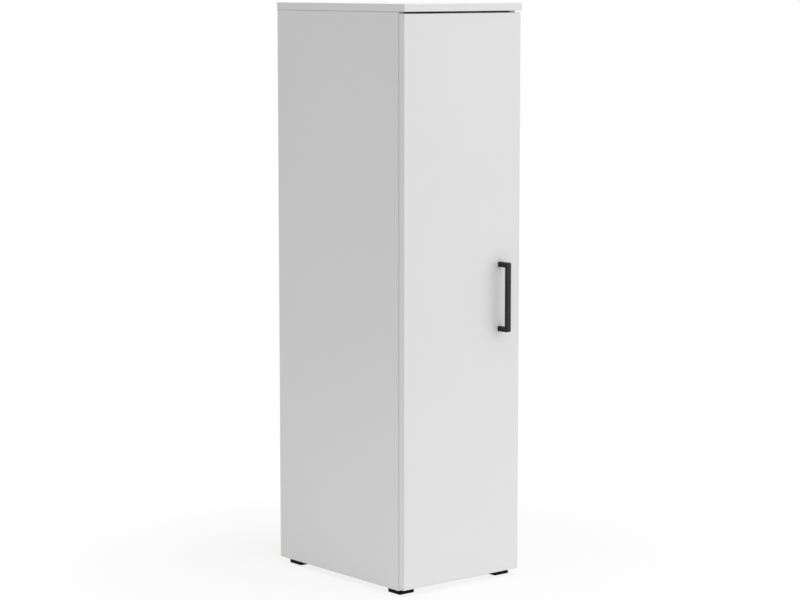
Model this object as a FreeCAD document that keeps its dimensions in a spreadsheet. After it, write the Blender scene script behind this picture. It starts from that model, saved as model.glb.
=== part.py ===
import FreeCAD, Part
import Sketcher
import math
import os
import re

# Storage cupboard: a narrow flat-pack carcass with one overlay door on cup hinges.
# Millimetres, +Z up, front towards -Y, origin on the floor at the middle of the overall outline.

V = FreeCAD.Vector
doc = FreeCAD.newDocument("storage_cupboard")
dims = doc.addObject("Spreadsheet::Sheet", "dims")

# Driving sizes, then sizes that follow from them
SIZES = [
    ("top_width", "300"),
    ("top_depth", "400"),
    ("total_height", "1145"),
    ("board", "15"),
    ("edge_round", "1"),
    ("side_overhang", "1"),
    ("door_set_back", "2.5"),
    ("door_gap", "1.5"),
    ("door_side_inset", "1.5"),
    ("door_top_gap", "3.6"),
    ("door_low_gap", "3"),
    ("foot_height", "10"),
    ("foot_size", "38"),
    ("foot_round", "4"),
    ("foot_bevel", "1"),
    ("foot_side_inset", "6"),
    ("foot_front_inset", "3"),
    ("foot_back_inset", "22"),
    ("foot_screw_dia", "4"),
    ("foot_screw_head_dia", "8"),
    ("foot_screw_head", "2.5"),
    ("foot_screw_recess", "4.5"),
    ("head_play", "1"),
    ("foot_screw_grip", "10"),
    ("back_thick", "3"),
    ("back_inset", "12"),
    ("groove_depth", "6"),
    ("groove_play", "0.2"),
    ("groove_end_play", "0.5"),
    ("back_screw_dia", "3"),
    ("back_screw_head_dia", "6"),
    ("back_screw_head", "1.6"),
    ("back_screw_grip", "14"),
    ("back_screw_side_inset", "40"),
    ("shelf_side_play", "0.75"),
    ("shelf_front_gap", "12"),
    ("shelf_back_gap", "2"),
    ("pin_dia", "5"),
    ("pin_grip", "9"),
    ("pin_end_play", "1"),
    ("pin_pad_reach", "9"),
    ("pin_pad_width", "7"),
    ("pin_pad_height", "6"),
    ("pin_inset", "37"),
    ("hole_pitch", "32"),
    ("hole_steps", "2"),
    ("fit_play", "0.05"),
    ("cam_dia", "15"),
    ("cam_height", "12"),
    ("cam_end_play", "0.5"),
    ("cam_reach", "34"),
    ("cam_inset", "70"),
    ("cam_slot_width", "2"),
    ("cam_slot_length", "9"),
    ("cam_slot_depth", "2"),
    ("bolt_dia", "6"),
    ("bolt_hole_dia", "8"),
    ("bolt_play", "0.5"),
    ("bolt_thread_dia", "5"),
    ("bolt_thread", "9"),
    ("bolt_end_play", "1"),
    ("dowel_dia", "8"),
    ("dowel_long", "20"),
    ("dowel_short", "9"),
    ("dowel_end_play", "0.5"),
    ("dowel_top_inset", "38"),
    ("dowel_low_inset", "120"),
    ("handle_reach", "27"),
    ("handle_width", "11"),
    ("handle_bar", "7"),
    ("handle_leg", "10"),
    ("handle_length", "138"),
    ("handle_edge_inset", "51"),
    ("handle_corner", "3"),
    ("handle_inner_corner", "1.5"),
    ("handle_edge", "1.2"),
    ("handle_screw_dia", "4"),
    ("handle_screw_play", "0.25"),
    ("handle_screw_head_dia", "8"),
    ("handle_screw_head", "2.5"),
    ("handle_screw_grip", "10"),
    ("handle_screw_end_play", "2"),
    ("bumper_dia", "10"),
    ("bumper_play", "0.1"),
    ("bumper_inset", "40"),
    ("hinge_end_inset", "100"),
    ("cup_dia", "35"),
    ("cup_wall", "1.2"),
    ("cup_floor", "0.8"),
    ("cup_edge", "4"),
    ("cup_play", "0.1"),
    ("flange_thick", "1"),
    ("flange_near", "6.5"),
    ("flange_far", "14.5"),
    ("flange_half", "28"),
    ("flange_round", "5"),
    ("cup_screw_spread", "22.5"),
    ("cup_screw_offset", "9.5"),
    ("cup_screw_dia", "3.5"),
    ("cup_screw_head_dia", "6.5"),
    ("cup_screw_head", "1.8"),
    ("cup_screw_grip", "11"),
    ("pivot_dia", "2.8"),
    ("running_fit", "0.05"),
    ("cup_pivot_offset", "11.2"),
    ("arm_pivot_offset", "5.5"),
    ("pivot_forward", "4.8"),
    ("link_thick", "2"),
    ("link_rise", "5.5"),
    ("link_eye_dia", "5"),
    ("link_side_play", "0.4"),
    ("link_floor_play", "1.7"),
    ("arm_nose_dia", "6.8"),
    ("arm_inside_half", "5.6"),
    ("arm_sheet", "1.5"),
    ("arm_web_top", "15.5"),
    ("arm_cheek_low", "7.5"),
    ("arm_back", "64"),
    ("arm_front", "0.5"),
    ("arm_pivot_overhang", "0.4"),
    ("plate_thick", "3"),
    ("plate_near", "26"),
    ("plate_far", "48"),
    ("plate_half", "24"),
    ("block_near", "14"),
    ("block_far", "60"),
    ("block_side_play", "0.3"),
    ("plate_screw_inset", "37"),
    ("plate_screw_spread", "16"),
    ("plate_screw_dia", "5"),
    ("plate_screw_head_dia", "8"),
    ("plate_screw_head", "2.2"),
    ("plate_screw_grip", "11"),
    ("arm_screw_dia", "4"),
    ("arm_screw_head_dia", "7"),
    ("arm_screw_head", "2.2"),
    ("arm_screw_grip", "8"),
    ("arm_screw_near", "24"),
    ("arm_screw_far", "50"),
    ("overall_depth", "=top_depth + handle_reach - door_set_back"),
    ("back_y", "=overall_depth / 2"),
    ("front_y", "=back_y - top_depth"),
    ("door_front_y", "=front_y + door_set_back"),
    ("door_back_y", "=door_front_y + board"),
    ("side_front_y", "=door_back_y + door_gap"),
    ("side_depth", "=back_y - side_front_y"),
    ("side_height", "=total_height - board - foot_height"),
    ("side_x", "=top_width / 2 - side_overhang"),
    ("inner_x", "=side_x - board"),
    ("inner_width", "=inner_x * 2"),
    ("bottom_depth", "=side_depth - back_inset - back_thick"),
    ("groove_width", "=back_thick + groove_play * 2"),
    ("groove_front", "=bottom_depth - groove_play"),
    ("back_width", "=inner_width + (groove_depth - groove_end_play) * 2"),
    ("back_height", "=side_height + groove_depth - groove_end_play"),
    ("back_front_y", "=side_front_y + bottom_depth"),
    ("door_width", "=top_width - door_side_inset * 2"),
    ("door_left_x", "=0 - door_width / 2"),
    ("door_height", "=side_height - door_low_gap - door_top_gap"),
    ("door_low_z", "=foot_height + door_low_gap"),
    ("door_mid_z", "=door_low_z + door_height / 2"),
    ("shelf_width", "=inner_width - shelf_side_play * 2"),
    ("shelf_depth", "=bottom_depth - shelf_front_gap - shelf_back_gap"),
    ("compartment", "=(side_height - board * 3) / 3"),
    ("shelf_low_rise", "=board + compartment"),
    ("shelf_high_rise", "=shelf_low_rise + board + compartment"),
    ("pin_back_inset", "=bottom_depth - pin_inset"),
    ("pin_hole_depth", "=pin_grip + pin_end_play"),
    ("cam_bore_depth", "=cam_height + cam_end_play"),
    ("bolt_thread_hole", "=bolt_thread + bolt_end_play"),
    ("cam_back_inset", "=side_depth - cam_inset - back_inset"),
    ("dowel_top_back", "=side_depth - dowel_top_inset - back_inset"),
    ("dowel_low_back", "=side_depth - dowel_low_inset - back_inset"),
    ("handle_x", "=door_width / 2 - handle_edge_inset"),
    ("handle_holes", "=handle_length - handle_leg"),
    ("handle_screw_hole", "=handle_screw_dia + handle_screw_play * 2"),
    ("handle_thread_hole", "=handle_screw_grip + handle_screw_end_play"),
    ("cup_x", "=door_left_x + cup_edge + cup_dia / 2"),
    ("cup_pivot_x", "=cup_x - cup_pivot_offset"),
    ("cup_pivot_far", "=cup_pivot_offset + pivot_dia / 2"),
    ("cup_pivot_half", "=sqrt(cup_dia * cup_dia / 4 - cup_pivot_far * cup_pivot_far)"),
    ("arm_pivot_x", "=cup_x + arm_pivot_offset"),
    ("pivot_y", "=side_front_y - pivot_forward"),
    ("link_span", "=arm_pivot_offset + cup_pivot_offset"),
    ("link_half", "=arm_inside_half - link_side_play"),
    ("link_depth", "=pivot_forward - door_gap + link_rise + link_thick / 2"),
    ("cup_depth", "=link_depth + link_floor_play + cup_floor"),
    ("block_half", "=arm_inside_half - block_side_play"),
    ("link_bend", "=(link_span * link_span / 4 + link_rise * link_rise) / (link_rise * 2)"),
    ("link_bend_x", "=cup_pivot_x + link_span / 2"),
    ("link_bend_y", "=pivot_y + link_bend - link_rise"),
    ("wall_x", "=0 - inner_x"),
    ("web_low", "=arm_web_top - arm_sheet"),
    ("arm_pivot_half", "=arm_inside_half + arm_sheet + arm_pivot_overhang"),
    ("hinge_low_z", "=door_low_z + hinge_end_inset"),
    ("hinge_high_z", "=door_low_z + door_height - hinge_end_inset"),
]
NAMES = {alias for alias, value in SIZES}
for row, (alias, value) in enumerate(SIZES, start=1):
    dims.set("A%d" % row, alias)
    dims.set("B%d" % row, value)
    dims.setAlias("B%d" % row, alias)
doc.recompute()

ROUGH = 10.0
LEAST_BITE = 1.0
TOLERANCE = 1e-4


def ex(text):
    """Turn size names in a sum into references to the sheet."""
    return re.sub(r"[a-z_]+", lambda m: "dims." + m.group(0) if m.group(0) in NAMES else m.group(0), text)


def place(obj, x, y, z):
    """Bind an object's base point to the sheet."""
    for axis, value in zip("xyz", (x, y, z)):
        obj.setExpression("Placement.Base." + axis, ex(value))


def part_body(label):
    """Start a body that is modelled at its own corner."""
    body = doc.addObject("PartDesign::Body", label)
    body.Label = label
    return body


def sketch_on(body, role, lift=None):
    """Attach a sketch to one of the body's origin planes, lifted along the plane's normal."""
    plane = next(item for item in body.Origin.OriginFeatures if item.Role == role)
    sketch = body.newObject("Sketcher::SketchObject", body.Name + "_sketch")
    sketch.AttachmentSupport = [(plane, "")]
    sketch.MapMode = "FlatFace"
    if lift is not None:
        sketch.setExpression("AttachmentOffset.Base.z", ex(lift))
    return sketch


def bind(sketch, constraint, value):
    """Add one constraint driven by the sheet."""
    index = sketch.addConstraint(constraint)
    sketch.setExpression("Constraints[%d]" % index, ex(value))


def rectangle(sketch, width, height, left=None, low=None):
    """Draw a constrained rectangle from the sketch origin or from a given corner."""
    first = sketch.GeometryCount
    corners = [V(ROUGH, ROUGH, 0), V(2 * ROUGH, ROUGH, 0), V(2 * ROUGH, 2 * ROUGH, 0), V(ROUGH, 2 * ROUGH, 0)]
    for start, end in zip(corners, corners[1:] + corners[:1]):
        sketch.addGeometry(Part.LineSegment(start, end), False)
    for side in range(4):
        follow = first + (side + 1) % 4
        sketch.addConstraint(Sketcher.Constraint("Coincident", first + side, 2, follow, 1))
        turn = "Horizontal" if side % 2 == 0 else "Vertical"
        sketch.addConstraint(Sketcher.Constraint(turn, first + side))
    bind(sketch, Sketcher.Constraint("DistanceX", first, 1, first, 2, ROUGH), width)
    bind(sketch, Sketcher.Constraint("DistanceY", first + 1, 1, first + 1, 2, ROUGH), height)
    if left is None:
        sketch.addConstraint(Sketcher.Constraint("PointOnObject", first, 1, -2))
    else:
        bind(sketch, Sketcher.Constraint("DistanceX", -1, 1, first, 1, ROUGH), left)
    if low is None:
        sketch.addConstraint(Sketcher.Constraint("PointOnObject", first, 1, -1))
    else:
        bind(sketch, Sketcher.Constraint("DistanceY", -1, 1, first, 1, ROUGH), low)


def circle(sketch, diameter, across, up):
    """Draw a constrained circle at a distance from the sketch origin."""
    index = sketch.addGeometry(Part.Circle(V(ROUGH, ROUGH, 0), V(0, 0, 1), ROUGH / 2), False)
    bind(sketch, Sketcher.Constraint("Diameter", index, ROUGH), diameter)
    bind(sketch, Sketcher.Constraint("DistanceX", -1, 1, index, 3, ROUGH), across)
    bind(sketch, Sketcher.Constraint("DistanceY", -1, 1, index, 3, ROUGH), up)


def pad(body, sketch, length):
    """Pad a sketch along its normal."""
    feature = body.newObject("PartDesign::Pad", body.Name + "_pad")
    feature.Profile = sketch
    feature.setExpression("Length", ex(length))
    body.Tip = feature
    sketch.Visibility = False
    return feature


def pocket(body, sketch, depth, reverse):
    """Pocket a sketch and make sure that it took material away."""
    doc.recompute()
    before = body.Shape.Volume
    feature = body.newObject("PartDesign::Pocket", body.Name + "_pocket")
    feature.Profile = sketch
    feature.Reversed = reverse
    feature.setExpression("Length", ex(depth))
    body.Tip = feature
    doc.recompute()
    if before - body.Shape.Volume < LEAST_BITE:
        raise RuntimeError("pocket misses " + body.Label)
    return feature


def slab(label, width, depth, height):
    """A board: a rectangle in plan, padded up."""
    body = part_body(label)
    sketch = sketch_on(body, "XY_Plane")
    rectangle(sketch, width, depth)
    pad(body, sketch, height)
    return body


def bores(body, role, lift, holes, depth, reverse):
    """Bore equal-depth holes, each given as diameter, across, up."""
    sketch = sketch_on(body, role, lift)
    for diameter, across, up in holes:
        circle(sketch, diameter, across, up)
    return pocket(body, sketch, depth, reverse)


def soften(body, radius, kind, test):
    """Round or bevel the edges of the tip whose mid point and direction pass a test."""
    doc.recompute()
    tip = body.Tip
    shape = body.Shape
    names = []
    for number, edge in enumerate(shape.Edges, start=1):
        if edge.Curve.TypeId == "Part::GeomLine":
            along = (edge.Vertexes[-1].Point - edge.Vertexes[0].Point).normalize()
            if test(edge.CenterOfMass, along, shape.BoundBox):
                names.append("Edge%d" % number)
    feature = body.newObject("PartDesign::" + kind, body.Name + "_" + kind.lower())
    feature.Base = (tip, names)
    feature.setExpression("Radius" if kind == "Fillet" else "Size", ex(radius))
    body.Tip = feature
    doc.recompute()


def near(a, b):
    """True when two coordinates are the same within modelling accuracy."""
    return math.isclose(a, b, abs_tol=TOLERANCE)


parts = []


def finish(obj, label):
    """Give an object its node name and list it for writing."""
    obj.Label = label
    parts.append((label, obj))
    return obj


def box(x, y, z, length, width, height):
    """A block bound to the sheet."""
    obj = doc.addObject("Part::Box", "block")
    obj.setExpression("Length", ex(length))
    obj.setExpression("Width", ex(width))
    obj.setExpression("Height", ex(height))
    place(obj, x, y, z)
    return obj


TURNS = {
    "z": FreeCAD.Rotation(V(0, 0, 1), 0),
    "x": FreeCAD.Rotation(V(0, 1, 0), 90),
    "-x": FreeCAD.Rotation(V(0, 1, 0), -90),
    "-y": FreeCAD.Rotation(V(1, 0, 0), 90),
    "y": FreeCAD.Rotation(V(1, 0, 0), -90),
    "-z": FreeCAD.Rotation(V(1, 0, 0), 180),
}


def rod(axis, x, y, z, diameter, length):
    """A round bar from a base point along an axis, bound to the sheet."""
    obj = doc.addObject("Part::Cylinder", "rod")
    obj.Placement = FreeCAD.Placement(V(0, 0, 0), TURNS[axis])
    obj.setExpression("Radius", ex("(" + diameter + ") / 2"))
    obj.setExpression("Height", ex(length))
    place(obj, x, y, z)
    return obj


def fuse(*items):
    """One solid from overlapping or touching pieces."""
    obj = doc.addObject("Part::MultiFuse", "join")
    obj.Shapes = list(items)
    obj.Refine = True
    return obj


def group(items):
    """Separate solids kept as one object."""
    if len(items) == 1:
        return items[0]
    obj = doc.addObject("Part::Compound", "set")
    obj.Links = list(items)
    return obj


def cut(base, *tools):
    """Take tools away from a base."""
    obj = doc.addObject("Part::Cut", "cut")
    obj.Base = base
    obj.Tool = group(list(tools))
    return obj


def screw(axis, back, x, y, z, diameter, grip, head_diameter, head):
    """A screw seated at a point: the shank runs along an axis, the head sits on the other side."""
    shank = rod(axis, x, y, z, diameter, grip)
    top = rod(back, x, y, z, head_diameter, head)
    return fuse(shank, top)


# Side boards: groove for the back, shelf holes, fitting bores and, on the left, hinge plate holes
HINGES = (("low", "hinge_low_z"), ("middle", "door_mid_z"), ("high", "hinge_high_z"))
SIDES = (("side_left", "0 - side_x", "board", False), ("side_right", "inner_x", None, True))
CAM_BORE = "cam_dia + fit_play * 2"
THREAD_BORE = "bolt_thread_dia + fit_play * 2"
PEG_BORE = "dowel_dia + fit_play * 2"
CAM_INSETS = ("cam_inset", "cam_back_inset")
TOP_PEGS = ("dowel_top_inset", "dowel_top_back")
LOW_PEGS = ("dowel_low_inset", "dowel_low_back")
for label, left_x, lift, reverse in SIDES:
    body = slab(label, "board", "side_depth", "side_height")
    soften(body, "edge_round", "Fillet", lambda c, d, b: near(abs(d.z), 1) and near(c.y, b.YMin))
    groove = sketch_on(body, "YZ_Plane", lift)
    rectangle(groove, "groove_width", "side_height", left="groove_front")
    pocket(body, groove, "groove_depth", reverse)
    first_pins = []
    for inset in ("pin_inset", "pin_back_inset"):
        for rise in ("shelf_low_rise", "shelf_high_rise"):
            up = rise + " - pin_pad_height / 2 - hole_pitch * hole_steps"
            first_pins.append(("pin_dia + fit_play * 2", inset, up))
    first = bores(body, "YZ_Plane", lift, first_pins, "pin_hole_depth", reverse)
    rows = body.newObject("PartDesign::LinearPattern", label + "_rows")
    rows.Originals = [first]
    rows.Direction = (first.Profile[0], ["V_Axis"])
    rows.setExpression("Length", ex("hole_pitch * hole_steps * 2"))
    rows.setExpression("Occurrences", ex("hole_steps * 2 + 1"))
    body.Tip = rows
    cams = [(CAM_BORE, inset, "side_height - cam_reach") for inset in CAM_INSETS]
    bores(body, "YZ_Plane", lift, cams, "cam_bore_depth", reverse)
    threads = [(THREAD_BORE, inset, "board / 2") for inset in CAM_INSETS]
    bores(body, "YZ_Plane", lift, threads, "bolt_thread_hole", reverse)
    pegs = [(PEG_BORE, inset, "board / 2") for inset in LOW_PEGS]
    bores(body, "YZ_Plane", lift, pegs, "dowel_short + dowel_end_play", reverse)
    rods = [("bolt_hole_dia", "board / 2", inset) for inset in CAM_INSETS]
    bores(body, "XY_Plane", "side_height", rods, "cam_reach", False)
    pegs = [(PEG_BORE, "board / 2", inset) for inset in TOP_PEGS]
    bores(body, "XY_Plane", "side_height", pegs, "dowel_long + dowel_end_play", False)
    if label == "side_left":
        plates = []
        for name, height in HINGES:
            for spread in ("- plate_screw_spread", "+ plate_screw_spread"):
                up = height + " - foot_height " + spread
                plates.append(("plate_screw_dia + fit_play * 2", "plate_screw_inset", up))
        bores(body, "YZ_Plane", lift, plates, "plate_screw_grip + fit_play", reverse)
    place(body, left_x, "side_front_y", "foot_height")
    finish(body, label)

# Top board: lies over both sides and reaches forward over the door
body = slab("top_panel", "top_width", "top_depth", "board")
soften(
    body,
    "edge_round",
    "Fillet",
    lambda c, d, b: near(c.y, b.YMin) if near(abs(d.z), 1) else not near(c.y, b.YMax),
)
groove = sketch_on(body, "XY_Plane")
rectangle(
    groove,
    "inner_width + groove_depth * 2",
    "groove_width",
    left="side_overhang + board - groove_depth",
    low="groove_front + side_front_y - front_y",
)
pocket(body, groove, "groove_depth", True)
threads = []
pegs = []
for across in ("side_overhang + board / 2", "top_width - side_overhang - board / 2"):
    for inset in CAM_INSETS:
        threads.append((THREAD_BORE, across, inset + " + side_front_y - front_y"))
    for inset in TOP_PEGS:
        pegs.append((PEG_BORE, across, inset + " + side_front_y - front_y"))
bores(body, "XY_Plane", None, threads, "bolt_thread_hole", True)
bores(body, "XY_Plane", None, pegs, "dowel_short + dowel_end_play", True)
place(body, "0 - top_width / 2", "front_y", "foot_height + side_height")
finish(body, "top_panel")

# Bottom board: stands between the sides, held by cams bored from below
body = slab("bottom_panel", "inner_width", "bottom_depth", "board")
cams = []
for across in ("cam_reach", "inner_width - cam_reach"):
    for inset in CAM_INSETS:
        cams.append((CAM_BORE, across, inset))
bores(body, "XY_Plane", None, cams, "cam_bore_depth", True)
for lift, reverse in ((None, True), ("inner_width", False)):
    rods = [("bolt_hole_dia", inset, "board / 2") for inset in CAM_INSETS]
    bores(body, "YZ_Plane", lift, rods, "cam_reach", reverse)
    pegs = [(PEG_BORE, inset, "board / 2") for inset in LOW_PEGS]
    bores(body, "YZ_Plane", lift, pegs, "dowel_long + dowel_end_play", reverse)
centres = []
FOOT_LEFT = "foot_side_inset - board + foot_size / 2"
FOOT_RIGHT = "inner_width + board - foot_side_inset - foot_size / 2"
FOOT_FRONT = "foot_front_inset + foot_size / 2"
FOOT_BACK = "side_depth - foot_back_inset - foot_size / 2"
FOOT_MIDDLES = (
    ("front_left", FOOT_LEFT, FOOT_FRONT),
    ("front_right", FOOT_RIGHT, FOOT_FRONT),
    ("back_left", FOOT_LEFT, FOOT_BACK),
    ("back_right", FOOT_RIGHT, FOOT_BACK),
)
for name, across, inset in FOOT_MIDDLES:
    centres.append(("foot_screw_dia + fit_play * 2", across, inset))
bores(body, "XY_Plane", None, centres, "foot_screw_grip", True)
ends = []
for across in ("back_screw_side_inset", "inner_width / 2", "inner_width - back_screw_side_inset"):
    ends.append(("back_screw_dia + fit_play * 2", across, "board / 2"))
bores(body, "XZ_Plane", "0 - bottom_depth", ends, "back_screw_grip - back_thick", True)
place(body, "wall_x", "side_front_y", "foot_height")
finish(body, "bottom_panel")

# Back board: thin hardboard in the grooves, screwed to the rear edge of the bottom board
body = slab("back_panel", "back_width", "back_thick", "back_height")
ends = []
for across in ("back_screw_side_inset", "inner_width / 2", "inner_width - back_screw_side_inset"):
    shifted = across + " + groove_depth - groove_end_play"
    ends.append(("back_screw_dia + fit_play * 2", shifted, "board / 2"))
bores(body, "XZ_Plane", None, ends, "back_thick", False)
place(body, "0 - back_width / 2", "back_front_y", "foot_height")
finish(body, "back_panel")
screws = []
for across in ("0 - inner_width / 2 + back_screw_side_inset", "0", "inner_width / 2 - back_screw_side_inset"):
    seat_y = "back_front_y + back_thick"
    seat_z = "foot_height + board / 2"
    screws.append(
        screw("-y", "y", across, seat_y, seat_z, "back_screw_dia", "back_screw_grip",
              "back_screw_head_dia", "back_screw_head")
    )
finish(group(screws), "back_screws")

# Shelves and the pins that carry them
PIN_FACES = (("-x", "wall_x", "wall_x"), ("x", "inner_x", "inner_x - pin_pad_reach"))
for name, rise in (("lower", "shelf_low_rise"), ("upper", "shelf_high_rise")):
    body = slab("shelf_" + name, "shelf_width", "shelf_depth", "board")
    soften(body, "edge_round", "Fillet", lambda c, d, b: near(abs(d.x), 1) and near(c.y, b.YMin))
    place(body, "0 - shelf_width / 2", "side_front_y + shelf_front_gap", "foot_height + " + rise)
    finish(body, "shelf_" + name)
    pins = []
    for inset in ("pin_inset", "pin_back_inset"):
        middle_y = "side_front_y + " + inset
        middle_z = "foot_height + " + rise + " - pin_pad_height / 2"
        pad_y = middle_y + " - pin_pad_width / 2"
        pad_z = "foot_height + " + rise + " - pin_pad_height"
        for into, face_x, pad_x in PIN_FACES:
            stub = rod(into, face_x, middle_y, middle_z, "pin_dia", "pin_grip")
            seat = box(pad_x, pad_y, pad_z, "pin_pad_reach", "pin_pad_width", "pin_pad_height")
            pins.append(fuse(stub, seat))
    finish(group(pins), "shelf_pins_" + name)

# Feet: square glides under the corners, one screw each
screws = []
for name, across, inset in FOOT_MIDDLES:
    label = "foot_" + name
    body = slab(label, "foot_size", "foot_size", "foot_height")
    soften(body, "foot_round", "Fillet", lambda c, d, b: near(abs(d.z), 1))
    soften(body, "foot_bevel", "Chamfer", lambda c, d, b: near(c.z, b.ZMin))
    recess = ("foot_screw_head_dia + head_play * 2", "foot_size / 2", "foot_size / 2")
    bores(body, "XY_Plane", None, [recess], "foot_screw_recess", True)
    hole = ("foot_screw_dia + fit_play * 2", "foot_size / 2", "foot_size / 2")
    bores(body, "XY_Plane", None, [hole], "foot_height", True)
    middle_x = "wall_x + " + across
    middle_y = "side_front_y + " + inset
    place(body, middle_x + " - foot_size / 2", middle_y + " - foot_size / 2", "0")
    finish(body, label)
    grip = "foot_height - foot_screw_recess + foot_screw_grip - fit_play"
    screws.append(
        screw("z", "-z", middle_x, middle_y, "foot_screw_recess", "foot_screw_dia", grip,
              "foot_screw_head_dia", "foot_screw_head")
    )
finish(group(screws), "foot_screws")

# Carcass fittings: cams, their bolts and wooden dowels
cams = []
bolts = []
dowels = []
BOLT_PASSAGE = "bolt_dia + bolt_play * 2"
for inset in CAM_INSETS:
    at_y = "side_front_y + " + inset
    top_z = "foot_height + side_height"
    cam_z = top_z + " - cam_reach"
    low_z = "foot_height + board / 2"
    for sign, into, away in (("-", "-x", "x"), ("+", "x", "-x")):
        middle_x = "0 " + sign + " (side_x - board / 2)"
        face_x = "0 " + sign + " inner_x"
        bolts.append(
            fuse(
                rod("z", middle_x, at_y, cam_z, "bolt_dia", "cam_reach"),
                rod("z", middle_x, at_y, top_z, "bolt_thread_dia", "bolt_thread"),
            )
        )
        drum = rod(into, face_x, at_y, cam_z, "cam_dia", "cam_height")
        passage = rod("z", middle_x, at_y, cam_z + " - bolt_dia / 2", BOLT_PASSAGE, "cam_reach")
        start = "wall_x - cam_slot_depth" if sign == "-" else "inner_x"
        slot = box(start, at_y + " - cam_slot_width / 2", cam_z + " - cam_slot_length / 2",
                   "cam_slot_depth", "cam_slot_width", "cam_slot_length")
        cams.append(cut(drum, passage, slot))
        bolts.append(
            fuse(
                rod(into, face_x, at_y, low_z, "bolt_thread_dia", "bolt_thread"),
                rod(away, face_x, at_y, low_z, "bolt_dia", "cam_reach"),
            )
        )
        drum_x = "0 " + sign + " (inner_x - cam_reach)"
        drum = rod("z", drum_x, at_y, "foot_height", "cam_dia", "cam_height")
        reach_x = drum_x + " " + ("+" if sign == "-" else "-") + " bolt_dia / 2"
        passage = rod(into, reach_x, at_y, low_z, BOLT_PASSAGE, "cam_reach")
        slot = box(drum_x + " - cam_slot_length / 2", at_y + " - cam_slot_width / 2", "foot_height",
                   "cam_slot_length", "cam_slot_width", "cam_slot_depth")
        cams.append(cut(drum, passage, slot))
for top_inset, low_inset in zip(TOP_PEGS, LOW_PEGS):
    for sign, into in (("-", "-x"), ("+", "x")):
        middle_x = "0 " + sign + " (side_x - board / 2)"
        top_y = "side_front_y + " + top_inset
        top_z = "foot_height + side_height - dowel_long"
        dowels.append(rod("z", middle_x, top_y, top_z, "dowel_dia", "dowel_long + dowel_short"))
        start_x = "0 " + sign + " (inner_x - dowel_long)"
        low_y = "side_front_y + " + low_inset
        low_z = "foot_height + board / 2"
        dowels.append(rod(into, start_x, low_y, low_z, "dowel_dia", "dowel_long + dowel_short"))
finish(group(cams), "cam_locks")
finish(group(bolts), "cam_bolts")
finish(group(dowels), "dowels")

# Door board with cup bores and handle holes
body = slab("door_panel", "door_width", "board", "door_height")
soften(body, "edge_round", "Fillet", lambda c, d, b: near(c.y, b.YMin))
cups = []
pilots = []
for name, height in HINGES:
    cups.append(("cup_dia + cup_play * 2", "cup_edge + cup_dia / 2", height + " - door_low_z"))
    for spread in ("- cup_screw_spread", "+ cup_screw_spread"):
        across = "cup_edge + cup_dia / 2 + cup_screw_offset"
        pilots.append(("cup_screw_dia + fit_play * 2", across, height + " - door_low_z " + spread))
bores(body, "XZ_Plane", "0 - board", cups, "cup_depth + cup_play", True)
bores(body, "XZ_Plane", "0 - board", pilots, "cup_screw_grip", True)
through = []
for spread in ("- handle_holes / 2", "+ handle_holes / 2"):
    through.append(("handle_screw_hole", "handle_x - door_left_x", "door_height / 2 " + spread))
bores(body, "XZ_Plane", "0 - board", through, "board", True)
place(body, "door_left_x", "door_front_y", "door_low_z")
finish(body, "door_panel")

# Handle: one bent bar with two legs, held by screws from inside
body = part_body("handle")
sketch = sketch_on(body, "YZ_Plane")
rectangle(sketch, "handle_reach", "handle_length")
pad(body, sketch, "handle_width")
sketch = sketch_on(body, "YZ_Plane")
grip_depth = "handle_reach - handle_bar"
grip_height = "handle_holes - handle_leg"
rectangle(sketch, grip_depth, grip_height, left="handle_bar", low="handle_leg")
pocket(body, sketch, "handle_width", True)
soften(
    body,
    "handle_corner",
    "Fillet",
    lambda c, d, b: near(abs(d.x), 1) and near(c.y, b.YMin),
)
soften(
    body,
    "handle_inner_corner",
    "Fillet",
    lambda c, d, b: near(abs(d.x), 1) and b.YMin + TOLERANCE < c.y < b.YMax - TOLERANCE
    and b.ZMin + TOLERANCE < c.z < b.ZMax - TOLERANCE,
)
soften(
    body,
    "handle_edge",
    "Fillet",
    lambda c, d, b: near(abs(d.z), 1) and near(c.y, b.YMin),
)
threads = [("handle_screw_dia + fit_play * 2", "handle_width / 2", up)
           for up in ("handle_leg / 2", "handle_length - handle_leg / 2")]
bores(body, "XZ_Plane", "0 - handle_reach", threads, "handle_thread_hole", True)
place(body, "handle_x - handle_width / 2", "door_front_y - handle_reach", "door_mid_z - handle_length / 2")
finish(body, "handle")
screws = []
for spread in ("- handle_holes / 2", "+ handle_holes / 2"):
    grip = "board + handle_screw_grip"
    screws.append(
        screw("-y", "y", "handle_x", "door_back_y", "door_mid_z " + spread, "handle_screw_dia", grip,
              "handle_screw_head_dia", "handle_screw_head")
    )
finish(group(screws), "handle_screws")

# Bumpers: soft discs between the free edge of the door and the right side
bumpers = []
for height in ("door_low_z + bumper_inset", "door_low_z + door_height - bumper_inset"):
    thickness = "door_gap - bumper_play"
    bumpers.append(rod("y", "side_x - board / 2", "door_back_y", height, "bumper_dia", thickness))
finish(group(bumpers), "door_bumpers")

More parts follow.
